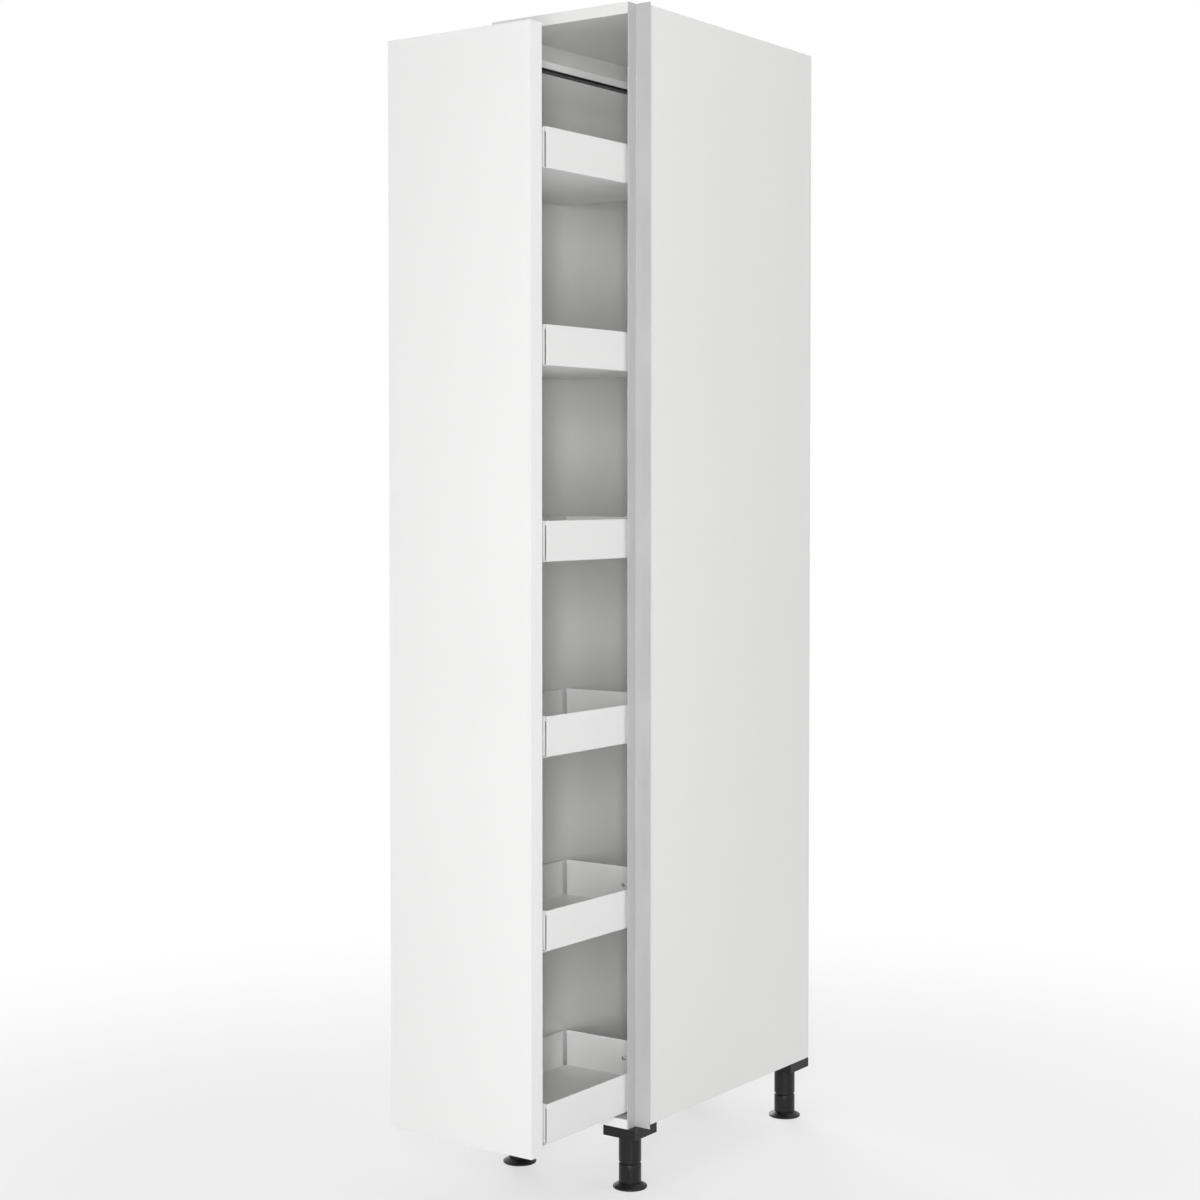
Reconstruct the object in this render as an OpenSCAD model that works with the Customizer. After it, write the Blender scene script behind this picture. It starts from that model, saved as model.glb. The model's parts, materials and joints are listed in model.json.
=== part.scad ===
// Pull-out larder unit for a fitted kitchen.
// A narrow tall carcass on four adjustable legs holds a frame with six sheet-metal trays.
// The frame runs on two flat ball-bearing runners on the carcass floor and is steered by a
// telescopic guide under the top board. It is modelled part way out, 245 mm in front of the carcass.
// Construction coordinates: X across the width with 0 in the middle of the carcass, Y backwards
// with 0 at the carcass's front plane, Z upwards with 0 at the carcass's underside.
// placed() then moves every piece so that the whole unit stands centred on its origin.

/* [Carcass] */
// Outer width of the carcass
carcass_w = 300; // [290:1:400]
// Height of the carcass without its legs
carcass_h = 1872; // [1860:1:2100]
// Depth of the carcass without the front
carcass_d = 575; // [565:1:620]
// Thickness of the two side boards
side_t = 16; // [15:0.5:19]
// Thickness of the bottom board
bottom_t = 16; // [15:0.5:16]
// Thickness of the top board
top_t = 19; // [16:0.5:25]
// Thickness of the back board
back_t = 8; // [5:0.5:10]
// Depth of the grooves that hold the back board
groove_d = 6; // [4:0.5:7]
// Thickness of the wall-fixing rail behind the back board
rail_t = 16; // [12:0.5:19]
// Height of the wall-fixing rail
rail_h = 110; // [80:1:160]
// Distance between the two wall screws
wall_hole_spacing = 180; // [100:1:200]
// Diameter of the wall screw holes
wall_hole_dia = 6; // [4:0.5:10]
// Distance of the outer dowels from the front and back edges
dowel_inset = 100; // [80:1:140]
// Diameter of the wooden dowels
dowel_dia = 8; // [6:1:8]
// Length of the wooden dowels
dowel_len = 30; // [25:1:40]

/* [Recessed grip] */
// Depth of the finger recess behind the front
recess_d = 24; // [20:0.5:30]
// Overhang of the grip profile beyond the carcass side, for the next unit
grip_out = 14; // [10:0.5:20]
// Wall thickness of the grip profile
grip_t = 1.5; // [1.2:0.1:2.5]
// Depth of the tongue that holds the profile in the side board
tongue_d = 9; // [6:0.5:12]

/* [Legs] */
// Height of the legs from the floor to the carcass
leg_h = 108; // [105:1:140]
// Side length of the square leg plates
plate_s = 65; // [62:1:75]
// Thickness of the leg plates
plate_t = 17; // [16:0.5:20]
// Outer diameter of the leg tubes and foot barrels
leg_dia = 38; // [36:0.5:42]
// Diameter of the flared foot
flare_dia = 58; // [50:0.5:62]
// Height of the flared foot
flare_h = 8.5; // [7:0.5:14]
// Height of the foot barrel
barrel_h = 32; // [27:0.5:34]
// Diameter of the adjusting spindle
spindle_dia = 12; // [10:0.5:14]
// Length of the adjusting spindle above the barrel
spindle_len = 38; // [30:0.5:40]

/* [Front] */
// Distance from the front panel's right edge to the carcass's right side, left for the grip
front_grip_gap = 8; // [6:0.5:10]
// Distance from the front panel's upper edge to the carcass's top
front_drop = 77; // [70:1:82]
// Thickness of the front panel
front_t = 29; // [19:0.5:30]
// Gap between the carcass's left edge and the front panel's left edge
front_side_gap = 2; // [1:0.5:3]
// Height of the front panel's lower edge above the carcass's underside
front_low = 20; // [16:0.5:25]
// Distance of the front panel's back face from the carcass in this pose
front_gap = 245; // [230:1:260]
// Gap that is left when the unit is shut
shut_gap = 2; // [1.9:0.1:3]

/* [Trays] */
// Number of trays
tray_count = 6; // [6:1:6]
// Clearance between a tray and the carcass side on each side
tray_side_gap = 4; // [3:0.5:8]
// Length of a tray
tray_len = 401; // [380:1:410]
// Height of a tray's walls
tray_h = 65; // [60:1:90]
// Sheet thickness of a tray
sheet_t = 1; // [0.8:0.1:2]
// Distance from the uppermost tray's floor to the carcass's top
top_tray_drop = 297; // [280:1:340]
// Distance from the front panel to a tray's front wall
tray_setback = 28; // [26:0.5:32]
// Open corner, measured along a side wall
corner_gap_side = 9; // [6:0.5:12]
// Open corner, measured along a front or back wall
corner_gap_end = 4.5; // [3:0.5:8]
// Width of the plate in the middle of a tray's back wall
back_plate_w = 28; // [22:0.5:36]

/* [Frame] */
// Thickness of the base plate
base_t = 2; // [1.5:0.1:3]
// Width of a front upright
upright_w = 20; // [18:0.5:24]
// Depth of a front upright
upright_d = 18; // [16:0.5:20]
// Wall thickness of the uprights and the crossbar
tube_t = 1.2; // [1:0.1:2]
// Distance of the front uprights' outer faces from the trays' sides
upright_inset = 15; // [10:0.5:20]
// Side length of the square rear upright
rear_s = 20; // [18:0.5:24]
// Distance from a tray's back wall to the rear upright
rear_gap = 22; // [20:0.5:26]
// Height of the crossbar
crossbar_h = 50; // [46:0.5:56]
// Distance of the crossbar's top below the carcass's top
crossbar_drop = 87; // [84:1:95]

/* [Top guide] */
// Width of the top beam
beam_w = 18; // [17.5:0.5:22]
// Height of the top beam
beam_h = 12; // [11.5:0.5:16]
// Distance of the top beam's upper edge below the carcass's top
beam_drop = 92.5; // [90:0.5:96]
// Wall thickness of the top beam
beam_t = 1.2; // [1:0.1:1.5]
// Thickness of the dark strip under the top beam
strip_t = 4; // [2:0.5:6]
// Length of the fixed guide bar
guide_len = 345; // [335:1:350]
// Sideways clearance between the guide's members
guide_fit = 0.4; // [0.3:0.05:0.5]

/* [Runners] */
// Width of a flat ball-bearing runner
runner_w = 45; // [42:1:50]
// Height of a flat ball-bearing runner
runner_h = 9.5; // [9.5:0.1:11]
// Space between the runners and the back board
runner_rear_gap = 15; // [11:0.5:25]
// Distance of the runners' outer edges from the base plate's edges
runner_inset = 22.5; // [18:0.5:30]
// Sheet thickness of the runner members
runner_t = 1.2; // [1:0.05:1.2]
// Diameter of a bearing ball
ball_dia = 3.5; // [3.3:0.05:3.6]
// Number of balls on each flank of a runner stage
ball_count = 8; // [4:1:12]
// Length of a ball cage
cage_len = 240; // [200:1:260]
// How far the pull-out still travels outwards from this pose
open_travel = 190; // [150:1:195]

/* [Fasteners] */
// Diameter of the chipboard and tray screws
screw_dia = 4; // [3.5:0.1:4.5]
// Diameter of the screw heads
head_dia = 8; // [7:0.1:8]
// Thickness of the screw heads
head_t = 2; // [1.5:0.1:2.4]

/* [Hidden] */
$fn = 64;

eps = 0.5;                  // extra length of a cutter past the face that it opens
fit = 0.2;                  // clearance of a board or a flat piece in its seat
bore_fit = 0.05;            // radial clearance of a shank, dowel, ball or spindle in its bore

// Carcass faces
outer_x = carcass_w / 2;
inner_x = outer_x - side_t;
ceiling_z = carcass_h - top_t;
back_y = carcass_d - rail_t - back_t;
dowel_side = 10;            // how deep a dowel sits in the side board
dowel_ys = [dowel_inset, carcass_d / 2, carcass_d - dowel_inset];
dowel_zs = [bottom_t / 2, carcass_h - top_t / 2];
wall_hole_z = ceiling_z - rail_h / 2;

// Grip profile
tongue_t = 2;
tongue_x = outer_x - side_t / 2 - tongue_t / 2;

// Bumpers on the left side board
bumper_r = 4;
bumper_t = shut_gap - fit;
bumper_zs = [for (share = [0.05, 0.5, 0.92]) share * carcass_h];

// Legs
leg_x = outer_x - plate_s / 2;
leg_front_y = plate_s / 2;
leg_back_y = carcass_d - plate_s / 2;
plate_screw_edge = 7.5;     // from a screw to the plate's edge
plate_screw_off = plate_s / 2 - plate_screw_edge;
plate_flange_t = 5;         // plastic left above a screw head
plate_screw_in = 12;        // how far a plate screw enters the board
socket_r = 15;
socket_h = 12;
neck_h = 3;
neck_r = leg_dia / 2 - 2;
groove_h = 1.5;
barrel_z = -leg_h + flare_h + groove_h + barrel_h;
tube_bottom_z = barrel_z + neck_h;
leg_slot_w = 3;
leg_slot_h = 16;
leg_slot_drop = 24;         // from the barrel's top down to the slot's lower end
leg_slot_d = 3;
leg_line_w = 1.6;
leg_line_d = 0.8;
leg_line_low = 4;           // where the moulding line ends above the tube's lower edge
foot_edge = 1;              // chamfer under the flared foot
foot_rim_h = 2.5;
foot_shoulder_h = 3;        // chamfer at the barrel's top
foot_shoulder_w = 2.5;
spindle_room = 2;           // empty bore above the spindle
leg_mark_angle = -60;       // direction in which the slot and the tube's moulding line face

// Front panel
front_x0 = -outer_x + front_side_gap;
front_w = carcass_w - front_side_gap - front_grip_gap;
front_h = carcass_h - front_low - front_drop;
front_back_y = -front_gap;
shut_travel = front_gap - shut_gap;

// Widths that follow from the carcass's inside
tray_w = 2 * (inner_x - tray_side_gap);
base_w = tray_w - 2 * upright_inset;
upright_x = (base_w - upright_w) / 2;

// Runners, stacked between the carcass floor and the base plate
runner_x = base_w / 2 - runner_inset - runner_w / 2;
runner_front_y = 6;         // front end of every runner member when the unit is shut
runner_len = back_y - runner_front_y - runner_rear_gap;
ball_r = ball_dia / 2;
race_gap = ball_dia + 2 * bore_fit;
web_gap = 0.4;
outer_half = runner_w / 2;
ball_1_x = outer_half - runner_t - race_gap / 2;
middle_half = outer_half - runner_t - race_gap;
ball_2_x = middle_half - runner_t - race_gap / 2;
inner_half = middle_half - runner_t - race_gap;
middle_web_z = bottom_t + runner_t + web_gap;
inner_low_z = middle_web_z + runner_t + web_gap;
base_z = bottom_t + runner_h;
lip_z = base_z - web_gap - runner_t;
ball_z = (middle_web_z + base_z) / 2;
runner_tail = 10;           // the lower channel runs on behind the others
cage_t = 0.8;
cage_margin = 0.45;         // of a cage above and below its balls
cage_h = ball_dia + 2 * cage_margin;
cage_middle_y = runner_front_y + runner_len / 2;
ball_pitch = (cage_len - 4 * ball_dia) / (ball_count - 1);
runner_screw_ys = [for (share = [0.1, 0.4, 0.7, 0.95]) runner_front_y + share * runner_len];

// Frame
tray_z0 = base_z + base_t;
base_overhang = 3;          // of the base plate behind the upper channels
frame_rear_y = runner_front_y + runner_len - shut_travel + base_overhang;
stop_w = 30;
stop_len = 24;
stop_gap = 0.3;             // left between the stop and the base plate's tab when fully open
stop_y = frame_rear_y - base_t - stop_gap - open_travel - stop_len;
stop_top_z = base_z - 2 * stop_gap;
upright_back_y = front_back_y + upright_d;
crossbar_z1 = carcass_h - crossbar_drop;
crossbar_z0 = crossbar_z1 - crossbar_h;
beam_z1 = carcass_h - beam_drop;
beam_z0 = beam_z1 - beam_h;

// Trays
tray_pitch = (carcass_h - top_tray_drop - tray_z0) / (tray_count - 1);
tray_front_y = front_back_y + tray_setback;
tray_back_y = tray_front_y + tray_len;
rear_y = tray_back_y + rear_gap;
spacer_w = 16;
spacer_h = 35;
spacer_low = 15;
tray_bolt_z = spacer_low + spacer_h / 2;
front_screw_in = 12;
front_screw_levels = [0, 2, 4];

// Top guide
guide_rear_gap = 6;
guide_y1 = back_y - guide_rear_gap;
guide_y0 = guide_y1 - guide_len;
guide_lift = 0.6;
guide_middle_t = 1;
guide_middle_half = beam_w / 2 - beam_t - guide_fit;
guide_bar_half = guide_middle_half - guide_middle_t - 1.2 * guide_fit;
guide_middle_z0 = beam_z0 + beam_t + guide_lift;
guide_bar_z0 = guide_middle_z0 + guide_middle_t + guide_lift;
guide_middle_in = 4;        // how far the middle member starts behind the bar when shut
guide_middle_short = 9;
guide_middle_len = guide_len - guide_middle_short;
hanger_len = 30;
hanger_flange_w = 44;
hanger_flange_t = 3;
hanger_front_in = 50;
hanger_rear_in = 40;
hanger_ys = [guide_y0 + hanger_front_in, guide_y1 - hanger_rear_in];
angle_t = 2;
angle_h = 26;
angle_len = 27;
angle_rivet_y = 18;
angle_rivet_z = 15;
strip_end_gap = 1;
rivet_r = 2;

function tray_bottom(i) = tray_z0 + (tray_count - i) * tray_pitch;
// Place of a moving piece's front end in this pose, from its place when shut and its share of the travel
function part_way(shut_y, share) = shut_y - share * shut_travel;

// ---------- helpers ----------

module placed() {
    translate([-grip_out / 2, (front_gap + front_t - carcass_d) / 2, leg_h]) children();
}

module block(lo, hi) {
    translate(lo) cube(hi - lo);
}

// A flat outline in X and Z, drawn out along Y
module along_y(y0, y1) {
    translate([0, y1, 0]) rotate([90, 0, 0]) linear_extrude(y1 - y0) children();
}

module rod_x(x0, x1, y, z, r) {
    translate([x0, y, z]) rotate([0, 90, 0]) cylinder(h = x1 - x0, r = r);
}

module rod_y(x, y0, y1, z, r) {
    translate([x, y1, z]) rotate([90, 0, 0]) cylinder(h = y1 - y0, r = r);
}

module rod_z(x, y, z0, z1, r) {
    translate([x, y, z0]) cylinder(h = z1 - z0, r = r);
}

// ---------- carcass ----------

// The dowels, or their bores when clear is more than 0
module dowels(end_clear, clear) {
    for (sign = [-1, 1], y = dowel_ys, z = dowel_zs) {
        x = sign * (inner_x + dowel_side - dowel_len / 2);
        rod_x(x - dowel_len / 2 - end_clear, x + dowel_len / 2 + end_clear, y, z, dowel_dia / 2 + clear);
    }
}

module dowel_bores() {
    dowels(fit, bore_fit);
}

module plate_pilots() {
    for (sx = [-1, 1], y = [leg_front_y, leg_back_y], dx = [-1, 1], dy = [-1, 1])
        rod_z(sx * leg_x + dx * plate_screw_off, y + dy * plate_screw_off, -eps,
              plate_screw_in + fit, screw_dia / 2 + bore_fit);
}

module back_groove() {
    x = inner_x + groove_d;
    block([-x, back_y, bottom_t - groove_d], [x, back_y + back_t, ceiling_z + groove_d]);
}

module side_board(sign, front_y) {
    difference() {
        block([min(sign * inner_x, sign * outer_x), front_y, 0],
              [max(sign * inner_x, sign * outer_x), carcass_d, carcass_h]);
        back_groove();
        dowel_bores();
        plate_pilots();
        if (sign > 0)
            block([tongue_x - fit / 2, front_y - eps, -eps],
                  [tongue_x + tongue_t + fit / 2, front_y + tongue_d + fit, carcass_h + eps]);
    }
}

module side_left() placed() color("white") side_board(-1, 0);

module side_right() placed() color("white") side_board(1, recess_d);

module top_panel() placed() color("white") difference() {
    block([-inner_x, 0, ceiling_z], [inner_x, carcass_d, carcass_h]);
    back_groove();
    dowel_bores();
    for (y = hanger_ys, sign = [-1, 1])
        rod_z(sign * hanger_flange_w / 3, y + hanger_len / 2, ceiling_z - eps,
              ceiling_z + plate_screw_in + fit, screw_dia / 2 + bore_fit);
}

module bottom_panel() placed() color("white") difference() {
    block([-inner_x, 0, 0], [inner_x, carcass_d, bottom_t]);
    back_groove();
    dowel_bores();
    plate_pilots();
    runner_screw_bores();
}

module wall_holes(y0, y1) {
    for (sign = [-1, 1])
        rod_y(sign * wall_hole_spacing / 2, y0, y1, wall_hole_z, wall_hole_dia / 2);
}

module back_panel() placed() color("white") difference() {
    x = inner_x + groove_d - fit;
    block([-x, back_y, bottom_t - groove_d + fit], [x, back_y + back_t, ceiling_z + groove_d - fit]);
    wall_holes(back_y - eps, back_y + back_t + eps);
}

module fixing_rail() placed() color("white") difference() {
    block([-inner_x, back_y + back_t, ceiling_z - rail_h], [inner_x, carcass_d, ceiling_z]);
    wall_holes(back_y + back_t - eps, carcass_d + eps);
}

// L-shaped profile: one wall closes the carcass inside, the other is the bottom of the finger recess
module grip_profile() placed() color("silver") {
    block([inner_x, 0, 0], [inner_x + grip_t, recess_d, carcass_h]);
    block([inner_x, recess_d - grip_t, 0], [outer_x + grip_out, recess_d, carcass_h]);
    block([tongue_x, recess_d - grip_t, 0], [tongue_x + tongue_t, recess_d + tongue_d, carcass_h]);
}

module carcass_dowels() placed() color("burlywood") dowels(0, 0);

module shut_bumpers() placed() color("gainsboro") {
    for (z = bumper_zs)
        rod_y(-outer_x + side_t / 2, -bumper_t, 0, z, bumper_r);
}

// ---------- legs ----------

module leg_plate() {
    difference() {
        block([-plate_s / 2, -plate_s / 2, -plate_t], [plate_s / 2, plate_s / 2, 0]);
        rod_z(0, 0, -plate_t - eps, -plate_t + socket_h, socket_r + bore_fit);
        for (dx = [-1, 1], dy = [-1, 1]) {
            sx = dx * plate_screw_off;
            sy = dy * plate_screw_off;
            rod_z(sx, sy, -plate_t - eps, eps, screw_dia / 2 + bore_fit);
            rod_z(sx, sy, -plate_t - eps, -plate_flange_t, head_dia / 2 + fit);
        }
    }
}

module leg_tube() {
    difference() {
        union() {
            rod_z(0, 0, tube_bottom_z, -plate_t, leg_dia / 2);
            rod_z(0, 0, barrel_z, tube_bottom_z + eps, neck_r);
            rod_z(0, 0, -plate_t - eps, -plate_t + socket_h - fit, socket_r);
        }
        rod_z(0, 0, barrel_z - eps, barrel_z + spindle_len + spindle_room, spindle_dia / 2 + bore_fit);
        rotate([0, 0, leg_mark_angle])
            block([leg_dia / 2 - leg_line_d, -leg_line_w / 2, tube_bottom_z + leg_line_low],
                  [leg_dia, leg_line_w / 2, -plate_t + eps]);
    }
}

// Foot outline as [radius, height], from the floor up to the barrel's shoulder
module foot(x, y) {
    r = leg_dia / 2;
    flare_r = flare_dia / 2;
    groove_z = -leg_h + flare_h;
    difference() {
        union() {
            translate([x, y, 0]) rotate_extrude()
                polygon([[0, -leg_h], [flare_r - foot_edge, -leg_h], [flare_r, -leg_h + foot_edge],
                         [flare_r, -leg_h + foot_rim_h], [r + foot_edge / 2, groove_z],
                         [neck_r, groove_z], [neck_r, groove_z + groove_h],
                         [r, groove_z + groove_h], [r, barrel_z - foot_shoulder_h],
                         [r - foot_shoulder_w, barrel_z], [0, barrel_z]]);
            rod_z(x, y, barrel_z - eps, barrel_z + spindle_len, spindle_dia / 2);
        }
        translate([x, y, barrel_z - leg_slot_drop]) rotate([0, 0, leg_mark_angle])
            block([r - leg_slot_d, -leg_slot_w / 2, 0], [leg_dia, leg_slot_w / 2, leg_slot_h]);
    }
}

module at_each_leg() {
    for (sign = [-1, 1], y = [leg_front_y, leg_back_y])
        translate([sign * leg_x, y, 0]) children();
}

module leg_plates() placed() color([0.1, 0.1, 0.1]) at_each_leg() leg_plate();

module leg_tubes() placed() color([0.1, 0.1, 0.1]) at_each_leg() leg_tube();

module foot_front_left() placed() color([0.12, 0.12, 0.12]) foot(-leg_x, leg_front_y);
module foot_front_right() placed() color([0.12, 0.12, 0.12]) foot(leg_x, leg_front_y);
module foot_back_left() placed() color([0.12, 0.12, 0.12]) foot(-leg_x, leg_back_y);
module foot_back_right() placed() color([0.12, 0.12, 0.12]) foot(leg_x, leg_back_y);

// The plate corner under the finger recess has no board above it, so its hole stays empty
module leg_screws() placed() color("silver") {
    for (sx = [-1, 1], y = [leg_front_y, leg_back_y], dx = [-1, 1], dy = [-1, 1]) {
        x = sx * leg_x + dx * plate_screw_off;
        screw_y = y + dy * plate_screw_off;
        if (x < inner_x || screw_y > recess_d) {
            rod_z(x, screw_y, -plate_flange_t - eps, plate_screw_in, screw_dia / 2);
            rod_z(x, screw_y, -plate_flange_t - head_t, -plate_flange_t, head_dia / 2);
        }
    }
}

// ---------- runners ----------

// Lower channel, open at the top, with lips over the first row of balls
module runner_cabinet(x) {
    difference() {
        along_y(runner_front_y, runner_front_y + runner_len + runner_tail)
            translate([x, bottom_t]) difference() {
                translate([-outer_half, 0]) square([runner_w, lip_z + runner_t - bottom_t]);
                translate([-outer_half + runner_t, runner_t])
                    square([runner_w - 2 * runner_t, lip_z - bottom_t - runner_t]);
                translate([-middle_half - web_gap, runner_t])
                    square([2 * (middle_half + web_gap), runner_h]);
            }
        runner_screw_bores();
    }
}

module runner_middle(x) {
    y = part_way(runner_front_y, 0.5);
    along_y(y, y + runner_len) difference() {
        translate([x - middle_half, middle_web_z])
            square([2 * middle_half, base_z - web_gap - middle_web_z]);
        translate([x - middle_half + runner_t, middle_web_z + runner_t])
            square([2 * (middle_half - runner_t), runner_h]);
    }
}

// Upper channel, open at the bottom, riveted to the base plate
module runner_inner(x) {
    y = part_way(runner_front_y, 1);
    difference() {
        along_y(y, y + runner_len) difference() {
            translate([x - inner_half, inner_low_z]) square([2 * inner_half, base_z - inner_low_z]);
            translate([x - inner_half + runner_t, inner_low_z - eps])
                square([2 * (inner_half - runner_t), base_z - runner_t - inner_low_z + eps]);
        }
        base_rivet_bores();
    }
}

module cage_strips(ball_x, share) {
    y0 = part_way(cage_middle_y, share) - cage_len / 2;
    for (side = [-1, 1], flank = [-1, 1])
        difference() {
            block([side * runner_x + flank * ball_x - cage_t / 2, y0, ball_z - cage_h / 2],
                  [side * runner_x + flank * ball_x + cage_t / 2, y0 + cage_len, ball_z + cage_h / 2]);
            for (i = [0 : ball_count - 1])
                rod_x(side * runner_x + flank * ball_x - cage_t, side * runner_x + flank * ball_x + cage_t,
                      y0 + 2 * ball_dia + i * ball_pitch, ball_z, ball_r + bore_fit);
        }
}

module balls(ball_x, share) {
    y0 = part_way(cage_middle_y, share) - cage_len / 2;
    for (side = [-1, 1], flank = [-1, 1], i = [0 : ball_count - 1])
        translate([side * runner_x + flank * ball_x, y0 + 2 * ball_dia + i * ball_pitch, ball_z])
            sphere(r = ball_r, $fn = 24);
}

module runner_screw_bores() {
    for (sign = [-1, 1], y = runner_screw_ys)
        rod_z(sign * runner_x, y, bottom_t - plate_screw_in, base_z, screw_dia / 2 + bore_fit);
    rod_z(0, stop_y + stop_len / 2, bottom_t - plate_screw_in, base_z, screw_dia / 2 + bore_fit);
}

module runner_cabinet_left() placed() color("silver") runner_cabinet(-runner_x);
module runner_cabinet_right() placed() color("silver") runner_cabinet(runner_x);
module runner_middle_left() placed() color("silver") runner_middle(-runner_x);
module runner_middle_right() placed() color("silver") runner_middle(runner_x);
module runner_inner_left() placed() color("silver") runner_inner(-runner_x);
module runner_inner_right() placed() color("silver") runner_inner(runner_x);
module ball_cages_first() placed() color("silver") cage_strips(ball_1_x, 0.25);
module balls_first() placed() color("gray") balls(ball_1_x, 0.25);
module ball_cages_second() placed() color("silver") cage_strips(ball_2_x, 0.75);
module balls_second() placed() color("gray") balls(ball_2_x, 0.75);

// Countersunk screws, flush with the inside of the lower channel
module runner_screws() placed() color("silver") {
    for (sign = [-1, 1], y = runner_screw_ys)
        rod_z(sign * runner_x, y, bottom_t - plate_screw_in + fit, bottom_t + runner_t, screw_dia / 2);
    rod_z(0, stop_y + stop_len / 2, bottom_t - plate_screw_in + fit, stop_top_z, screw_dia / 2);
}

// Block on the carcass floor that the base plate's tab meets when the unit is fully open
module open_stop() placed() color([0.12, 0.12, 0.12]) difference() {
    block([-stop_w / 2, stop_y, bottom_t], [stop_w / 2, stop_y + stop_len, stop_top_z]);
    runner_screw_bores();
}

// ---------- top guide ----------

module guide_hangers() placed() color("silver") {
    for (y = hanger_ys)
        difference() {
            union() {
                block([-guide_bar_half, y, beam_z1], [guide_bar_half, y + hanger_len, ceiling_z]);
                block([-hanger_flange_w / 2, y, ceiling_z - hanger_flange_t],
                      [hanger_flange_w / 2, y + hanger_len, ceiling_z]);
            }
            for (sign = [-1, 1])
                rod_z(sign * hanger_flange_w / 3, y + hanger_len / 2, ceiling_z - 2 * hanger_flange_t,
                      ceiling_z + eps, screw_dia / 2 + bore_fit);
        }
}

module guide_bar() placed() color("silver")
    block([-guide_bar_half, guide_y0, guide_bar_z0], [guide_bar_half, guide_y1, beam_z1]);

module guide_middle() placed() color("silver") {
    y = part_way(guide_y0 + guide_middle_in, 0.5);
    along_y(y, y + guide_middle_len) difference() {
        translate([-guide_middle_half, guide_middle_z0])
            square([2 * guide_middle_half, beam_z1 - fit - guide_middle_z0]);
        translate([-guide_middle_half + guide_middle_t, guide_middle_z0 + guide_middle_t])
            square([2 * (guide_middle_half - guide_middle_t), beam_h]);
    }
}

module guide_screws() placed() color("silver") {
    for (y = hanger_ys, sign = [-1, 1]) {
        rod_z(sign * hanger_flange_w / 3, y + hanger_len / 2, ceiling_z - hanger_flange_t - eps,
              ceiling_z + plate_screw_in, screw_dia / 2);
        rod_z(sign * hanger_flange_w / 3, y + hanger_len / 2, ceiling_z - hanger_flange_t - head_t,
              ceiling_z - hanger_flange_t, head_dia / 2);
    }
}

// ---------- pull-out frame ----------

// Channel that is open at the top; the telescopic guide runs inside it
module top_beam() placed() color("white") difference() {
    along_y(upright_back_y, frame_rear_y) difference() {
        translate([-beam_w / 2, beam_z0]) square([beam_w, beam_h]);
        translate([-beam_w / 2 + beam_t, beam_z0 + beam_t]) square([beam_w - 2 * beam_t, beam_h]);
    }
    angle_rivets(bore_fit);
}

module beam_strip() placed() color([0.15, 0.15, 0.15])
    block([-beam_w / 2 + fit, upright_back_y + angle_len + strip_end_gap, beam_z0 - strip_t],
          [beam_w / 2 - fit, rear_y - strip_end_gap, beam_z0]);

module angle_outline(y, direction) {
    block([-beam_w / 2, min(y, y + direction * angle_t), beam_z0 - angle_h],
          [beam_w / 2, max(y, y + direction * angle_t), beam_z0]);
    block([-beam_w / 2, min(y, y + direction * angle_len), beam_z0 - angle_t],
          [beam_w / 2, max(y, y + direction * angle_len), beam_z0]);
}

module beam_angles() placed() color("silver") difference() {
    union() {
        angle_outline(upright_back_y, 1);
        angle_outline(rear_y + rear_s, 1);
    }
    angle_rivets(bore_fit);
}

module angle_rivets(clear) {
    for (y = [upright_back_y, rear_y + rear_s]) {
        rod_z(0, y + angle_rivet_y, beam_z0 - angle_t - clear, beam_z0 + beam_t + clear, rivet_r + clear);
        rod_y(0, y - tube_t - clear, y + angle_t + clear, beam_z0 - angle_rivet_z, rivet_r + clear);
    }
}

// Flat plate whose rear end has a tab folded down for the stop
module base_plate() placed() color("silver") {
    difference() {
        block([-base_w / 2, front_back_y, base_z], [base_w / 2, frame_rear_y, base_z + base_t]);
        base_rivet_bores();
    }
    block([-stop_w / 2, frame_rear_y - base_t, bottom_t + 3 * stop_gap],
          [stop_w / 2, frame_rear_y, base_z + base_t]);
}

module base_rivet_bores() {
    for (sign = [-1, 1], y = runner_screw_ys)
        rod_z(sign * runner_x, part_way(y, 1), base_z - runner_t - eps, base_z + base_t + eps,
              rivet_r + bore_fit);
}

module frame_rivets() placed() color("silver") {
    for (sign = [-1, 1], y = runner_screw_ys)
        rod_z(sign * runner_x, part_way(y, 1), base_z - runner_t, base_z + base_t, rivet_r);
    angle_rivets(0);
}

module tray_bolt_bores(x, y0, y1) {
    for (i = [1 : tray_count])
        rod_y(x, y0, y1, tray_bottom(i) + tray_bolt_z, screw_dia / 2 + bore_fit);
}

module front_screw_bores(x, y0, y1) {
    for (level = front_screw_levels)
        rod_y(x, y0, y1, front_screw_z(level), screw_dia / 2 + bore_fit);
}

function front_screw_z(level) = tray_z0 + tray_h + (tray_pitch - tray_h) / 2 + level * tray_pitch;

module front_upright(x) {
    difference() {
        block([x - upright_w / 2, front_back_y, tray_z0], [x + upright_w / 2, upright_back_y, crossbar_z0]);
        block([x - upright_w / 2 + tube_t, front_back_y + tube_t, tray_z0 - eps],
              [x + upright_w / 2 - tube_t, upright_back_y - tube_t, crossbar_z0 + eps]);
        tray_bolt_bores(x, upright_back_y - tube_t - eps, upright_back_y + eps);
        front_screw_bores(x, front_back_y - eps, upright_back_y + eps);
    }
}

module front_upright_left() placed() color("white") front_upright(-upright_x);
module front_upright_right() placed() color("white") front_upright(upright_x);

module front_crossbar() placed() color("white") difference() {
    x = upright_x + upright_w / 2;
    block([-x, front_back_y, crossbar_z0], [x, upright_back_y, crossbar_z1]);
    block([-x - eps, front_back_y + tube_t, crossbar_z0 + tube_t],
          [x + eps, upright_back_y - tube_t, crossbar_z1 - tube_t]);
    angle_rivets(bore_fit);
}

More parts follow.
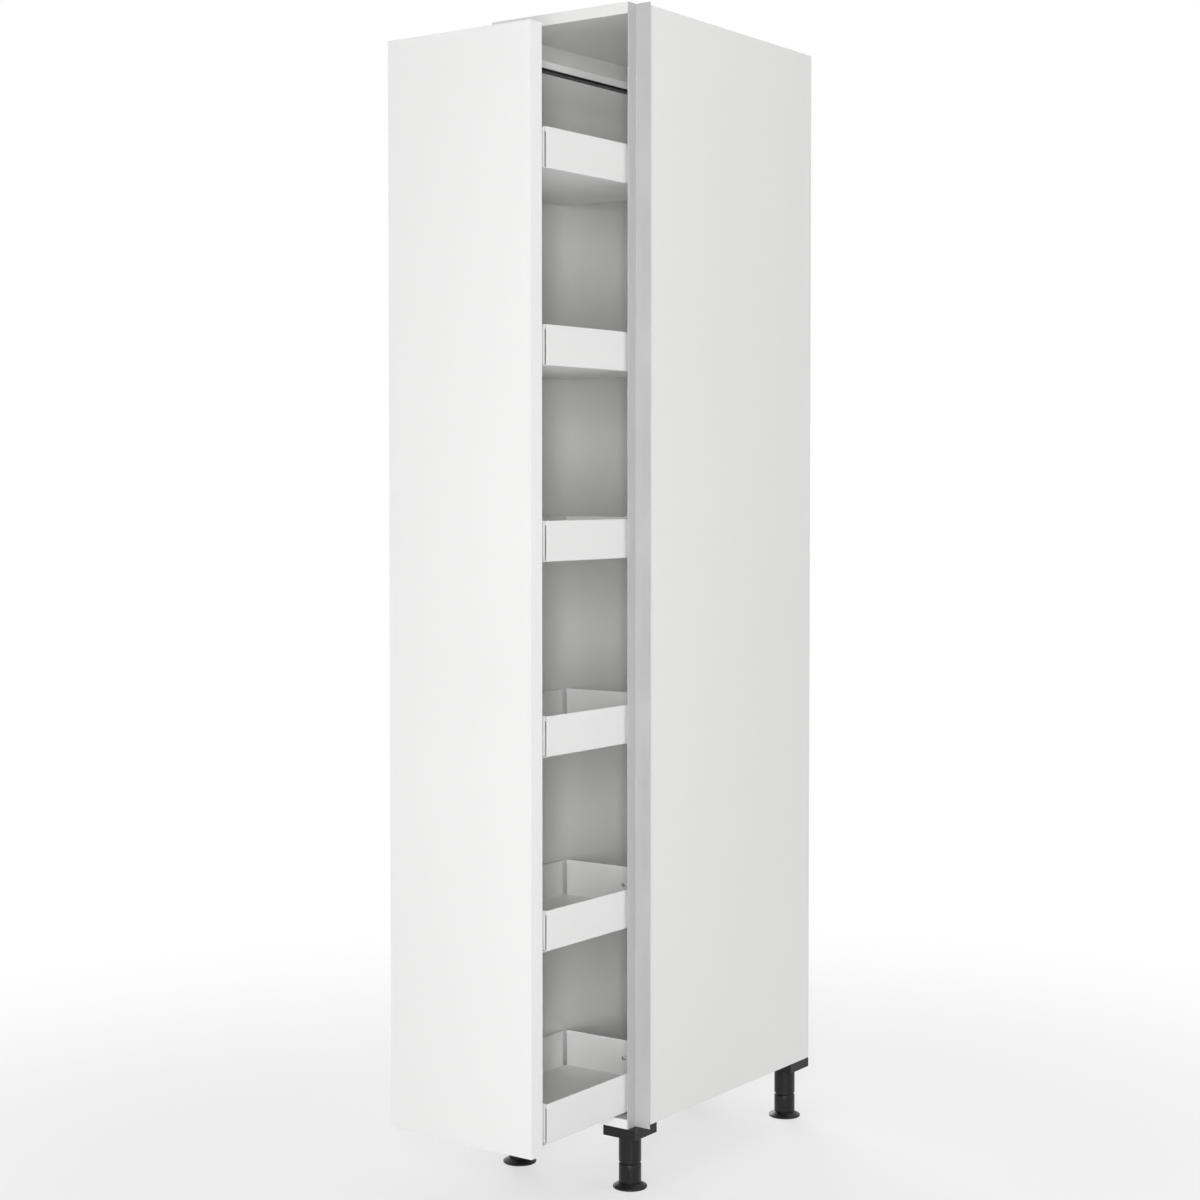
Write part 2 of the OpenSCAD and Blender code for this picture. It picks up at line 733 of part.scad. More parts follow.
module rear_upright() placed() color("white") difference() {
    block([-rear_s / 2, rear_y, tray_z0], [rear_s / 2, rear_y + rear_s, beam_z0]);
    block([-rear_s / 2 + tube_t, rear_y + tube_t, tray_z0 - eps],
          [rear_s / 2 - tube_t, rear_y + rear_s - tube_t, beam_z0 + eps]);
    tray_bolt_bores(0, rear_y - eps, rear_y + tube_t + eps);
    angle_rivets(bore_fit);
}

module front_panel() placed() color("white") difference() {
    block([front_x0, front_back_y - front_t, front_low],
          [front_x0 + front_w, front_back_y, front_low + front_h]);
    for (sign = [-1, 1])
        front_screw_bores(sign * upright_x, front_back_y - front_screw_in - fit, front_back_y + eps);
}

module front_screws() placed() color("silver") {
    for (sign = [-1, 1], level = front_screw_levels) {
        rod_y(sign * upright_x, front_back_y - front_screw_in, upright_back_y + eps,
              front_screw_z(level), screw_dia / 2);
        rod_y(sign * upright_x, upright_back_y, upright_back_y + head_t, front_screw_z(level), head_dia / 2);
    }
}

// ---------- trays ----------

// Floor sheet with a tab that reaches the front panel, cut out around the uprights
module tray_base(i) {
    z = tray_bottom(i);
    x = tray_w / 2 - sheet_t;
    difference() {
        block([-x, front_back_y + fit, z], [x, tray_back_y, z + sheet_t]);
        for (sign = [-1, 1])
            block([sign * upright_x - upright_w / 2 - fit, front_back_y, z - eps],
                  [sign * upright_x + upright_w / 2 + fit, upright_back_y + fit, z + sheet_t + eps]);
    }
}

// Four wall panels: the side walls lap the floor's edges, the end walls stand on the floor,
// and the corners between them stay open
module tray_walls(i) {
    z = tray_bottom(i);
    end_x = tray_w / 2 - corner_gap_end;
    side_y1 = tray_back_y - corner_gap_side;
    for (sign = [-1, 1])
        block([min(sign * tray_w / 2, sign * (tray_w / 2 - sheet_t)), tray_front_y, z],
              [max(sign * tray_w / 2, sign * (tray_w / 2 - sheet_t)), side_y1, z + tray_h]);
    difference() {
        union() {
            block([-end_x, tray_front_y, z + sheet_t], [end_x, tray_front_y + sheet_t, z + tray_h]);
            block([-end_x, tray_back_y - sheet_t, z + sheet_t], [end_x, tray_back_y, z + tray_h]);
        }
        for (sign = [-1, 1])
            rod_y(sign * upright_x, tray_front_y - eps, tray_front_y + sheet_t + eps, z + tray_bolt_z,
                  screw_dia / 2 + bore_fit);
        rod_y(0, tray_back_y - sheet_t - eps, tray_back_y + eps, z + tray_bolt_z, screw_dia / 2 + bore_fit);
    }
}

module tray_1_base() placed() color("white") tray_base(1);
module tray_2_base() placed() color("white") tray_base(2);
module tray_3_base() placed() color("white") tray_base(3);
module tray_4_base() placed() color("white") tray_base(4);
module tray_5_base() placed() color("white") tray_base(5);
module tray_6_base() placed() color("white") tray_base(6);

module tray_1_walls() placed() color("white") tray_walls(1);
module tray_2_walls() placed() color("white") tray_walls(2);
module tray_3_walls() placed() color("white") tray_walls(3);
module tray_4_walls() placed() color("white") tray_walls(4);
module tray_5_walls() placed() color("white") tray_walls(5);
module tray_6_walls() placed() color("white") tray_walls(6);

module bored_block(x, y0, y1, w, i) {
    z = tray_bottom(i);
    difference() {
        block([x - w / 2, y0, z + spacer_low], [x + w / 2, y1, z + spacer_low + spacer_h]);
        rod_y(x, y0 - eps, y1 + eps, z + tray_bolt_z, screw_dia / 2 + bore_fit);
    }
}

module tray_spacers() placed() color("silver") {
    for (i = [1 : tray_count], sign = [-1, 1])
        bored_block(sign * upright_x, upright_back_y, tray_front_y, spacer_w, i);
}

module rear_arms() placed() color("silver") {
    for (i = [1 : tray_count])
        bored_block(0, tray_back_y, rear_y, spacer_w, i);
}

// Stiffening plates on the inside of the back walls
module rear_plates() placed() color("white") {
    for (i = [1 : tray_count])
        difference() {
            block([-back_plate_w / 2, tray_back_y - 2 * sheet_t, tray_bottom(i) + sheet_t],
                  [back_plate_w / 2, tray_back_y - sheet_t, tray_bottom(i) + tray_h]);
            rod_y(0, tray_back_y - 3 * sheet_t, tray_back_y, tray_bottom(i) + tray_bolt_z,
                  screw_dia / 2 + bore_fit);
        }
}

module tray_screws() placed() color("silver") {
    for (i = [1 : tray_count], sign = [-1, 1]) {
        z = tray_bottom(i) + tray_bolt_z;
        rod_y(sign * upright_x, upright_back_y - tube_t, tray_front_y + sheet_t + eps, z, screw_dia / 2);
        rod_y(sign * upright_x, tray_front_y + sheet_t, tray_front_y + sheet_t + head_t, z, head_dia / 2);
    }
}

module rear_screws() placed() color("silver") {
    for (i = [1 : tray_count]) {
        z = tray_bottom(i) + tray_bolt_z;
        rod_y(0, tray_back_y - 2 * sheet_t - eps, rear_y + tube_t, z, screw_dia / 2);
        rod_y(0, tray_back_y - 2 * sheet_t - head_t, tray_back_y - 2 * sheet_t, z, head_dia / 2);
    }
}

side_left();
side_right();
top_panel();
bottom_panel();
back_panel();
fixing_rail();
grip_profile();
carcass_dowels();
shut_bumpers();
leg_plates();
leg_tubes();
leg_screws();
foot_front_left();
foot_front_right();
foot_back_left();
foot_back_right();
runner_cabinet_left();
runner_cabinet_right();
runner_middle_left();
runner_middle_right();
runner_inner_left();
runner_inner_right();
runner_screws();
open_stop();
ball_cages_first();
balls_first();
ball_cages_second();
balls_second();
guide_hangers();
guide_bar();
guide_middle();
guide_screws();
top_beam();
beam_strip();
beam_angles();
base_plate();
frame_rivets();
front_upright_left();
front_upright_right();
front_crossbar();
rear_upright();
front_panel();
front_screws();
tray_1_base();
tray_2_base();
tray_3_base();
tray_4_base();
tray_5_base();
tray_6_base();
tray_1_walls();
tray_2_walls();
tray_3_walls();
tray_4_walls();
tray_5_walls();
tray_6_walls();
tray_spacers();
tray_screws();
rear_plates();
rear_arms();
rear_screws();
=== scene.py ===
# %% [markdown]
# # A narrow pull-out larder unit
#
# The object is a tall kitchen cabinet, 300 mm wide, whose full-height front slides out with six
# sheet-metal trays behind it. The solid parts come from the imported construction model. This
# script gives them their rounded edges and their finishes, and builds the pieces that the
# construction model only blocks out.

# %% The frame
import json
import math

import bmesh
import bpy
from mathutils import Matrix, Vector


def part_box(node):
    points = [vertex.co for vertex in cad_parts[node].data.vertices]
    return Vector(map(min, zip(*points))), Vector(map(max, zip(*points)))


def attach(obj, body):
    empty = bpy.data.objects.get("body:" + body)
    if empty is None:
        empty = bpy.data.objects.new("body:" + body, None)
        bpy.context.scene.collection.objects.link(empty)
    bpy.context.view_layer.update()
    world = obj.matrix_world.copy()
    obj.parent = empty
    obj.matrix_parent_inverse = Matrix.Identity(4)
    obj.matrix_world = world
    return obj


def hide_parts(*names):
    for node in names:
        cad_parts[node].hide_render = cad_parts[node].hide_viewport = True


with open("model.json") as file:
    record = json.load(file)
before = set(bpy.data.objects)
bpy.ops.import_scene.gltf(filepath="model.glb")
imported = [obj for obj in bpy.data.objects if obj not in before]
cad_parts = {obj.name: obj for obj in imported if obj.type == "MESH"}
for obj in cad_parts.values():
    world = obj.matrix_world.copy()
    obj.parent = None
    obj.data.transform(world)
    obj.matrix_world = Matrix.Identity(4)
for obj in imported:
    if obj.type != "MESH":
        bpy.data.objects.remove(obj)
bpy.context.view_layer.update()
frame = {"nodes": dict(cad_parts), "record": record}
nodes = frame["nodes"]
MM = 0.001

# %% [markdown]
# ## The camera
#
# The drawing is a two-point perspective: every upright line is parallel, and the horizon lies
# above the middle of the picture. A level camera with a large lens shift gives exactly that,
# but a large shift cuts the unit's top off in every other view. So the camera looks down by
# less than two degrees and the shift is a third as large. The upright lines then lean by a
# fifth of a degree at most. Place, turn and lens were fitted to the corners of the drawing.

# %% Camera
CAMERA_PLACE = (2.1783, -3.1037, 1.1884)
CAMERA_TURN = math.radians(35.506)
CAMERA_DOWN = math.radians(1.851)
LENS, SENSOR_WIDTH = 65.1, 36
LENS_SHIFT = -0.039


def put_in_scene(name, data):
    """An object for the data, linked to the scene."""
    made = bpy.data.objects.new(name, data)
    bpy.context.scene.collection.objects.link(made)
    return made


camera = put_in_scene("camera", bpy.data.cameras.new("camera"))
camera.location = CAMERA_PLACE
camera.rotation_euler = (math.pi / 2 - CAMERA_DOWN, 0, CAMERA_TURN)
camera.data.lens = LENS
camera.data.sensor_width = SENSOR_WIDTH
camera.data.shift_y = LENS_SHIFT
bpy.context.scene.camera = camera
print("camera:", CAMERA_PLACE, "lens", LENS)

# %% [markdown]
# ## Shader arithmetic
#
# A finish is easier to read as a formula than as a list of nodes. `Wire` stands for one output
# of a node. Sums on it add Math nodes, or Vector Math nodes when it carries a vector. `Finish`
# makes every other node from its type, its settings and its inputs.


# %% Wires and finishes
class Wire:
    """One output of a shader node, which can stand in a formula."""

    def __init__(self, finish, socket):
        self.finish, self.socket = finish, socket

    def sum_node(self, operation, *terms):
        kind = "VectorMath" if self.socket.type == "VECTOR" else "Math"
        return self.finish.node(kind, {"operation": operation}, dict(enumerate(terms)))

    def __add__(self, other):
        return self.sum_node("ADD", self, other)

    def __radd__(self, other):
        return self.sum_node("ADD", other, self)

    def __sub__(self, other):
        return self.sum_node("SUBTRACT", self, other)

    def __rsub__(self, other):
        return self.sum_node("SUBTRACT", other, self)

    def __mul__(self, other):
        return self.sum_node("MULTIPLY", self, other)

    def __rmul__(self, other):
        return self.sum_node("MULTIPLY", other, self)

    def __gt__(self, other):
        return self.sum_node("GREATER_THAN", self, other)


class Finish:
    """The node tree of a material, or of the world, that is being made."""

    def __init__(self, name, world=None):
        self.owner = world or bpy.data.materials.new(name)
        self.owner.use_nodes = True
        self.tree = self.owner.node_tree
        self.tree.nodes.clear()

    def node(self, kind, settings=None, inputs=None, out=0):
        """A node of a type, with its settings, the values or wires of its sockets, and one output."""
        made = self.tree.nodes.new("ShaderNode" + kind)
        for name, value in (settings or {}).items():
            if name == "stops":
                for stop, (place, colour) in zip(ramp_stops(made, len(value)), value):
                    stop.position, stop.color = place, rgb(*colour)
            else:
                setattr(made, name, value)
        for key, value in (inputs or {}).items():
            if isinstance(value, Wire):
                self.tree.links.new(value.socket, made.inputs[key])
            elif value is not None:
                made.inputs[key].default_value = value
        return Wire(self, made.outputs[out]) if made.outputs else None

    def place(self):
        return self.node("TexCoord", out="Object")

    def place_along(self, axis):
        return self.node("SeparateXYZ", {}, {"Vector": self.place()}, out=axis)

    def stretched(self, scale):
        return self.node("Mapping", {}, {"Vector": self.place(), "Scale": scale})

    def noise(self, size, vector=None, detail=2.0, roughness=0.5):
        """Cloudy values round 0.5, whose spots are about size metres across."""
        return self.node("TexNoise", {}, {"Vector": vector or self.place(), "Scale": 1 / size,
                                          "Detail": detail, "Roughness": roughness})

    def mix(self, factor, first, second):
        return self.node("Mix", {"data_type": "RGBA"}, {0: factor, 6: first, 7: second}, out=2)

    def bump(self, height, depth):
        return self.node("Bump", {}, {"Height": height, "Distance": depth, "Strength": 1.0})

    def surface(self, **inputs):
        named = {name.replace("_", " "): value for name, value in inputs.items()}
        self.node("OutputMaterial", {}, {"Surface": self.node("BsdfPrincipled", {}, named)})
        return self.owner


def ramp_stops(ramp_node, count):
    stops = ramp_node.color_ramp.elements
    while len(stops) < count:
        stops.new(0.5)
    return stops


def rgb(red, green, blue):
    return (red, green, blue, 1.0)


def shade(colour, share):
    """The colour with every channel times a share, as a colour socket takes it."""
    return rgb(*(channel * share for channel in colour))


print("shader helpers ready")

# %% [markdown]
# ## Melamine board
#
# The carcass is particle board with a white melamine face. Seen close, the face isn't smooth:
# it has a fine pearl grain pressed into it. The grain is bump only, and the gloss changes a
# little with it. The front edges carry a glued band of the same white. Edges that face the wall
# aren't banded, so they show the pressed chips of the core: a Voronoi pattern gives each chip
# its own brown. A mask on the place along Y tells banded from raw, since a value that is
# worked out from the place needs no second material.

# %% White boards
CHIP_SIZE, CHIP_DUST = 1.3 * MM, 0.5 * MM
CHIP_BROWNS = [(0.0, (0.36, 0.25, 0.15)), (0.4, (0.52, 0.39, 0.25)), (1.0, (0.66, 0.53, 0.37))]
RAW_ROUGHNESS = 0.85
BOARD_CLOUDS = 0.35


def chip_colours(finish):
    """Pressed wood chips, pale and dark browns mixed, with fine dust between them."""
    flattened = finish.stretched((1.0, 1.0, 0.6))
    chips = finish.node("TexVoronoi", {}, {"Vector": flattened, "Scale": 1 / CHIP_SIZE}, out="Color")
    brown = finish.node("SeparateColor", {}, {"Color": chips})
    dust = finish.noise(CHIP_DUST, detail=3.0, roughness=0.7)
    return finish.node("ValToRGB", {"stops": CHIP_BROWNS}, {"Fac": brown * 0.6 + dust * 0.4})


def board_finish(name, colour, gloss, grain, depth, raw_behind=None):
    """Coated board: cloudy colour, pressed grain of the given size and depth in metres.
    Faces that lie behind raw_behind, a place along Y, show the bare core."""
    finish = Finish(name)
    clouds = finish.noise(BOARD_CLOUDS, detail=3.0)
    pearl = finish.noise(grain, detail=3.0, roughness=0.6)
    face = finish.mix(clouds, shade(colour, 0.965), rgb(*colour))
    gloss_low, gloss_high = gloss
    shine = gloss_low + pearl * (gloss_high - gloss_low)
    if raw_behind is not None:
        raw = finish.place_along("Y") > raw_behind
        face = finish.mix(raw, face, chip_colours(finish))
        shine = shine + raw * (RAW_ROUGHNESS - gloss_high)
    return finish.surface(Base_Color=face, Roughness=shine, Normal=finish.bump(pearl, depth))


CARCASS_WHITE = (0.86, 0.86, 0.852)
FRONT_WHITE = (0.86, 0.86, 0.855)
EDGE_SKIN = 0.15 * MM
CARCASS_COAT = {"colour": CARCASS_WHITE, "gloss": (0.38, 0.52), "grain": 1.2 * MM, "depth": 0.04 * MM}
board_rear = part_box("side_left")[1].y
carcass_white = board_finish("carcass_white", raw_behind=board_rear - EDGE_SKIN, **CARCASS_COAT)
rail_white = board_finish("rail_white", **CARCASS_COAT)
front_white = board_finish("front_white", FRONT_WHITE, (0.26, 0.34), 6 * MM, 0.02 * MM)
print("boards:", carcass_white.name, front_white.name, "raw behind", round(board_rear, 4))

# %% [markdown]
# ## Powder coat
#
# Trays and frame are steel with a baked powder coat. Powder melts into a skin with a fine
# orange-peel wave, and it is a little thinner and glossier on some patches.

# %% Powder-coated steel
COAT_PATCHES = 80 * MM
PEEL_DEPTH = 0.06 * MM


def powder_coat(name, colour, wave):
    finish = Finish(name)
    peel = finish.noise(wave, detail=1.0)
    patches = finish.noise(COAT_PATCHES, detail=2.0)
    return finish.surface(
        Base_Color=finish.mix(patches, shade(colour, 0.96), rgb(*colour)),
        Roughness=0.3 + patches * 0.12,
        Normal=finish.bump(peel, PEEL_DEPTH),
    )


tray_white = powder_coat("tray_white", (0.83, 0.83, 0.825), 2.2 * MM)
frame_white = powder_coat("frame_white", (0.8, 0.8, 0.795), 3 * MM)
print("powder coats:", tray_white.name, frame_white.name)

# %% [markdown]
# ## Extruded and rolled metal
#
# The recess behind the front is an extruded profile in a light grey satin finish, and the
# runners are rolled from zinc-plated strip. Both ways leave faint lines along the metal's
# length, so the noise is stretched along that axis.

# %% Drawn finishes
LINE_SPACING, LINE_STRETCH = 1.1 * MM, 0.02
METAL_CLOUDS = 50 * MM


def drawn_finish(name, colour, along, metallic, gloss, depth):
    """Metal drawn or extruded along one axis (0, 1 or 2), with fine lines that follow it."""
    finish = Finish(name)
    scale = [1.0, 1.0, 1.0]
    scale[along] = LINE_STRETCH
    lines = finish.noise(LINE_SPACING, finish.stretched(tuple(scale)), detail=2.0)
    clouds = finish.noise(METAL_CLOUDS, detail=2.0)
    gloss_low, gloss_high = gloss
    return finish.surface(
        Base_Color=finish.mix(clouds, shade(colour, 0.93), rgb(*colour)),
        Metallic=metallic,
        Roughness=gloss_low + lines * (gloss_high - gloss_low),
        Normal=finish.bump(lines, depth),
    )


grip_grey = drawn_finish("grip_grey", (0.53, 0.53, 0.53), 2, 0.0, (0.36, 0.5), 0.03 * MM)
zinc_steel = drawn_finish("zinc_steel", (0.62, 0.63, 0.65), 1, 1.0, (0.24, 0.42), 0.02 * MM)
print("drawn metals:", grip_grey.name, zinc_steel.name)

# %% [markdown]
# ## Black plastic, bearing balls, dowels and bumpers
#
# The legs are moulded in black plastic with a fine spark-eroded grain. The balls are polished
# steel, the dowels beech with a grain along their length, and the bumpers clear soft plastic.


# %% Small finishes
def moulded_black(name, colour, grain):
    finish = Finish(name)
    spark = finish.noise(grain, detail=4.0, roughness=0.7)
    scuffs = finish.noise(20 * MM, detail=3.0)
    return finish.surface(
        Base_Color=finish.mix(scuffs, rgb(*colour), shade(colour, 1.7)),
        Roughness=0.3 + spark * 0.14,
        Normal=finish.bump(spark, 0.03 * MM),
        Specular_IOR_Level=0.3,
    )


def polished_ball(name):
    finish = Finish(name)
    smears = finish.noise(2 * MM, detail=1.0)
    return finish.surface(Base_Color=rgb(0.72, 0.72, 0.73), Metallic=1.0,
                          Roughness=0.08 + smears * 0.08)


def beech(name):
    finish = Finish(name)
    grain = finish.noise(2 * MM, finish.stretched((0.08, 1.0, 1.0)), detail=4.0, roughness=0.7)
    return finish.surface(Base_Color=finish.mix(grain, rgb(0.62, 0.42, 0.25), rgb(0.76, 0.58, 0.38)),
                          Roughness=0.5 + grain * 0.15, Normal=finish.bump(grain, 0.1 * MM))


def clear_bumper(name):
    finish = Finish(name)
    haze = finish.noise(3 * MM, detail=2.0)
    return finish.surface(Base_Color=finish.mix(haze, rgb(0.74, 0.75, 0.75), rgb(0.82, 0.83, 0.83)),
                          Roughness=0.25 + haze * 0.15)


FINISHES = {"carcass_white": carcass_white, "front_white": front_white, "recess_grey": grip_grey,
            "tray_white": tray_white, "frame_white": frame_white, "zinc_steel": zinc_steel,
            "ball_chrome": polished_ball("ball_chrome"),
            "black_plastic": moulded_black("black_plastic", (0.006, 0.006, 0.0065), 0.6 * MM),
            "dowel_wood": beech("dowel_wood"), "bumper_rubber": clear_bumper("bumper_rubber")}
print("finishes:", sorted(FINISHES))

# %% [markdown]
# ## Building new pieces
#
# Sheet metal, mouldings and screws need rounder forms than the construction model holds. Each
# is made as a mesh in code, mostly from rings of points that bands of faces join. `finished`
# turns it into an object, gives it its finish, lets it ride on its body and, where it stands
# for solids of the construction model, hides those.


# %% From mesh code to a piece of the unit
def coat(piece, material):
    piece.data.materials.clear()
    piece.data.materials.append(material)


def finished(name, mesh_code, slot, body, stands_for, smooth_to=32):
    """The piece that the mesh code describes; edges sharper than smooth_to degrees stay sharp."""
    bmesh.ops.recalc_face_normals(mesh_code, faces=mesh_code.faces)
    mesh = bpy.data.meshes.new(name)
    mesh_code.to_mesh(mesh)
    mesh_code.free()
    mesh.shade_smooth()
    mesh.set_sharp_from_angle(angle=math.radians(smooth_to))
    piece = put_in_scene(name, mesh)
    coat(piece, FINISHES[slot])
    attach(piece, body)
    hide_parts(*stands_for)
    return piece


def bridge(mesh_code, ring, following):
    """Joins two rings of as many points with a band of faces."""
    for k in range(len(ring)):
        j = (k + 1) % len(ring)
        mesh_code.faces.new((ring[k], ring[j], following[j], following[k]))


def outline_ring(mesh_code, outline, along, level):
    """A ring from an outline of two-number points, at a level along an axis (0, 1 or 2)."""
    ring = []
    for first, second in outline:
        place = [first, second]
        place.insert(along, level)
        ring.append(mesh_code.verts.new(place))
    return ring


def prism(mesh_code, outline, along, start, end):
    """Adds a closed outline, drawn out along an axis."""
    low = outline_ring(mesh_code, outline, along, start)
    high = outline_ring(mesh_code, outline, along, end)
    bridge(mesh_code, low, high)
    mesh_code.faces.new(low)
    mesh_code.faces.new(high)


print("piece helpers ready")

# %% [markdown]
# ## Bent sheet metal
#
# A folded sheet has the same thickness everywhere and a small radius in each bend. So only its
# middle line is written down. `sheet_outline` rounds the line's corners and offsets it by half
# the thickness to both sides. A hem is two corners close together.


# %% The outline of a bent sheet
def turned(vector, angle):
    return Vector((vector.x * math.cos(angle) - vector.y * math.sin(angle),
                   vector.x * math.sin(angle) + vector.y * math.cos(angle)))


def sheet_outline(path, thick, bend, steps=5):
    """Closed outline of a sheet whose middle line follows path; bend is the middle line's radius."""
    line = []
    for i, point in enumerate(path):
        here = Vector(point)
        before = (here - Vector(path[i - 1])).normalized() if i > 0 else None
        after = (Vector(path[i + 1]) - here).normalized() if i + 1 < len(path) else None
        if before is None or after is None:
            line.append((here, before or after))
            continue
        turn = before.angle_signed(after)
        start = here - before * (bend * math.tan(abs(turn) / 2))
        side = Vector((-before.y, before.x)) * (-1 if turn > 0 else 1)
        centre = start + side * bend
        for k in range(steps + 1):
            angle = -turn * k / steps
            line.append((centre + turned(start - centre, angle), turned(before, angle)))
    left = [tuple(p + Vector((-d.y, d.x)) * thick / 2) for p, d in line]
    right = [tuple(p - Vector((-d.y, d.x)) * thick / 2) for p, d in line]
    return left + right[::-1]


corner_test = sheet_outline([(0, 0), (10, 0), (10, 10)], 1, 2)
print("outline of one bend:", len(corner_test), "points,",
      [round(max(p[k] for p in corner_test), 3) for k in (0, 1)], "highest")

# %% [markdown]
# ## The trays
#
# Each tray is a sheet with both long sides folded up and hemmed inwards, so that no hand meets
# a cut edge. The back wall is folded from the same sheet, with open corners beside it, and the
# front wall is an angle that is welded onto the floor. A tab of the floor runs on to the front
# panel, round the two uprights.

# %% Folding six trays
TRAY_COUNT = 6
SHEET = 1.0 * MM
HEM_DEPTH = 7 * MM
HEM_GAP = 0.5 * MM
BEND = 1.6 * MM
OPEN_CORNER_SIDE, OPEN_CORNER_END = 9 * MM, 4.5 * MM
FRONT_FLANGE = 12 * MM
UPRIGHT_CLEARANCE = 0.2 * MM
(left_x, upright_y, _), (right_x, upright_back, _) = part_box("front_upright_left")
UPRIGHT_W, UPRIGHT_D = right_x - left_x, upright_back - upright_y
UPRIGHT_X = (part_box("front_upright_right")[0].x - left_x) / 2


def hemmed(foot, corner, top, inwards):
    """Path up a wall from the end of its foot, with a hem turned inwards at the top."""
    back = corner[0] + inwards * (SHEET + HEM_GAP)
    return [foot, corner, (corner[0], top), (back, top), (back, top - HEM_DEPTH)]


def hem_outline(path):
    """The wall's bend is wide and the hem's two are tight, so the path is rounded in two goes."""
    tight = (SHEET + HEM_GAP) / 2
    halfway = (path[1][0], (path[1][1] + path[2][1]) / 2)
    low = sheet_outline(path[:2] + [halfway], SHEET, BEND)
    high = sheet_outline([halfway] + path[2:], SHEET, tight)
    low_half, high_half = len(low) // 2, len(high) // 2
    return low[:low_half] + high[:high_half] + high[high_half:] + low[low_half:]


def floor_tab(middle, half, panel_y, tray_y):
    """Outline of the floor's tab, from the front panel to the tray, with a notch for each upright."""
    outline = [(middle - half + SHEET, tray_y), (middle - half + SHEET, panel_y)]
    for x in (middle - UPRIGHT_X, middle + UPRIGHT_X):
        left = x - UPRIGHT_W / 2 - UPRIGHT_CLEARANCE
        right = x + UPRIGHT_W / 2 + UPRIGHT_CLEARANCE
        outline += [(left, panel_y), (left, panel_y + UPRIGHT_D),
                    (right, panel_y + UPRIGHT_D), (right, panel_y)]
    return outline + [(middle + half - SHEET, panel_y), (middle + half - SHEET, tray_y)]


def make_tray(number):
    base, walls = f"tray_{number}_base", f"tray_{number}_walls"
    (_, y0, z0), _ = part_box(base)
    (wx0, wy0, _), (wx1, wy1, top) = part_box(walls)
    middle, half = (wx0 + wx1) / 2, (wx1 - wx0) / 2
    floor_z, wall_top = z0 + SHEET / 2, top - SHEET / 2
    ends = (middle - half + OPEN_CORNER_END, middle + half - OPEN_CORNER_END)
    made = bmesh.new()
    for side in (-1, 1):
        wall_x = middle + side * (half - SHEET / 2)
        path = hemmed((middle, floor_z), (wall_x, floor_z), wall_top, -side)
        prism(made, hem_outline(path), 1, wy0, wy1 - OPEN_CORNER_SIDE)
    back = hemmed((wy1 - OPEN_CORNER_SIDE, floor_z), (wy1 - SHEET / 2, floor_z), wall_top, -1)
    prism(made, hem_outline(back), 0, *ends)
    flange_z = floor_z + SHEET
    front = hemmed((wy0 + FRONT_FLANGE, flange_z), (wy0 + SHEET / 2, flange_z), wall_top, 1)
    prism(made, hem_outline(front), 0, *ends)
    prism(made, floor_tab(middle, half, y0, wy0), 2, z0, z0 + SHEET)
    return finished(f"folded_tray_{number}", made, "tray_white", "pullout", (base, walls))


trays = [make_tray(number) for number in range(1, TRAY_COUNT + 1)]
print("trays:", [piece.name for piece in trays])

# %% [markdown]
# ## Square tubes
#
# The two front uprights, the crossbar and the rear upright are welded from square tube. Drawn
# tube has a clear radius along each edge, outside and inside, and it's open at its cut ends.

# %% Tubes with round edges
TUBE_WALL, TUBE_RADIUS = 1.2 * MM, 2.2 * MM


def rounded_rectangle(x0, x1, y0, y1, radius, steps=4):
    outline = []
    for corner_x, corner_y, start in ((x1 - radius, y1 - radius, 0), (x0 + radius, y1 - radius, 90),
                                      (x0 + radius, y0 + radius, 180),
                                      (x1 - radius, y0 + radius, 270)):
        for k in range(steps + 1):
            angle = math.radians(start + 90 * k / steps)
            outline.append((corner_x + radius * math.cos(angle),
                            corner_y + radius * math.sin(angle)))
    return outline


def hollow_prism(mesh_code, outer, inner, along, start, end):
    shells = [[outline_ring(mesh_code, outline, along, level) for level in (start, end)]
              for outline in (outer, inner)]
    for low, high in shells:
        bridge(mesh_code, low, high)
    for outside, inside in zip(*shells):
        bridge(mesh_code, outside, inside)


def make_tube(name, node, along):
    low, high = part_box(node)
    (x0, x1), (y0, y1) = ((low[axis], high[axis]) for axis in range(3) if axis != along)
    outer = rounded_rectangle(x0, x1, y0, y1, TUBE_RADIUS)
    inner = rounded_rectangle(x0 + TUBE_WALL, x1 - TUBE_WALL, y0 + TUBE_WALL, y1 - TUBE_WALL,
                              TUBE_RADIUS - TUBE_WALL)
    made = bmesh.new()
    hollow_prism(made, outer, inner, along, low[along], high[along])
    return finished(name, made, "frame_white", "pullout", (node,))


tubes = [make_tube("upright_left", "front_upright_left", 2),
         make_tube("upright_right", "front_upright_right", 2),
         make_tube("crossbar", "front_crossbar", 0),
         make_tube("upright_rear", "rear_upright", 2)]
print("tubes:", [piece.name for piece in tubes])

# %% [markdown]
# ## Rolled channels
#
# The runners' members and the beam of the top guide are channels rolled from strip. Their
# middle lines are short lists of corners, so the same sheet helper makes all of them.

# %% Channels
STRIP = 1.2 * MM
STRIP_BEND = 1.0 * MM
LIP = 4.4 * MM


def channel(name, node, corners, slot, body):
    """corners(low, high, half) gives the middle line in X and Z for the node's box."""
    low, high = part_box(node)
    made = bmesh.new()
    prism(made, sheet_outline(corners(low, high, STRIP / 2), STRIP, STRIP_BEND), 1, low.y, high.y)
    return finished(name, made, slot, body, (node,))


def open_upwards(low, high, half):
    return [(low.x + half, high.z), (low.x + half, low.z + half),
            (high.x - half, low.z + half), (high.x - half, high.z)]


def open_downwards(low, high, half):
    return [(low.x + half, low.z), (low.x + half, high.z - half),
            (high.x - half, high.z - half), (high.x - half, low.z)]


